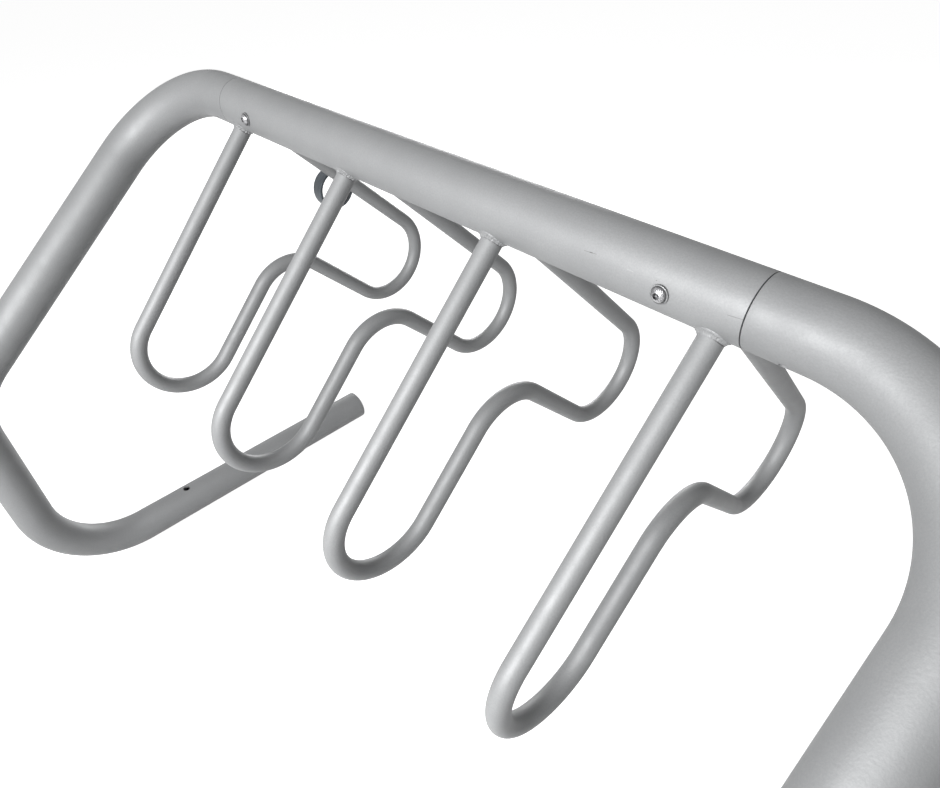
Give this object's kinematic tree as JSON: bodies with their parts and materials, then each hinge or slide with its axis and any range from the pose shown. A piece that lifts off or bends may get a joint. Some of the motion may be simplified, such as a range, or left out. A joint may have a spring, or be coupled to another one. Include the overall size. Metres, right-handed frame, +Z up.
{
  "type": "coat hanger bike rack",
  "caption": "Free-standing rack: a tube beam on bent C legs carries a row of bent hangers for parked bicycles.",
  "frame": {"origin": "middle of the rack's box on the floor, under the beam's mid length; the beam's centreline lies 0.1168 m behind it and 0.792 m above", "axes": "+X along the beam, away from the lock ring; +Y to the rear, where the feet end; +Z up"},
  "size_m": [1.2082, 0.7565, 0.8221],
  "materials": {
    "beam_coat": "satin silver-grey powder coat",
    "leg_coat": "satin silver-grey powder coat",
    "hanger_coat": "satin silver-grey powder coat",
    "weld_coat": "powder coat over a rippled weld bead",
    "cap_coat": "satin silver-grey powder coat",
    "ring_coat": "dark blue-grey, dull",
    "sleeve_steel": "zinc plated, hidden in the joint",
    "nut_steel": "zinc plated, hidden in the joint",
    "screw_steel": "bright stainless",
    "washer_steel": "bright stainless"
  },
  "bodies": {
    "root": {"hanger_beam": "beam_coat", "leg_left": "leg_coat", "leg_right": "leg_coat", "sleeve_left": "sleeve_steel", "sleeve_right": "sleeve_steel", "nut_left": "nut_steel", "nut_right": "nut_steel", "screw_left": "screw_steel", "screw_right": "screw_steel", "washer_left": "washer_steel", "washer_right": "washer_steel", "hanger_1": "hanger_coat", "hanger_2": "hanger_coat", "hanger_3": "hanger_coat", "hanger_4": "hanger_coat", "hanger_weld_1": "weld_coat", "hanger_weld_2": "weld_coat", "hanger_weld_3": "weld_coat", "hanger_weld_4": "weld_coat", "foot_cap_left": "cap_coat", "foot_cap_right": "cap_coat", "lock_ring": "ring_coat", "ring_weld": "weld_coat"}
  },
  "joints": []
}
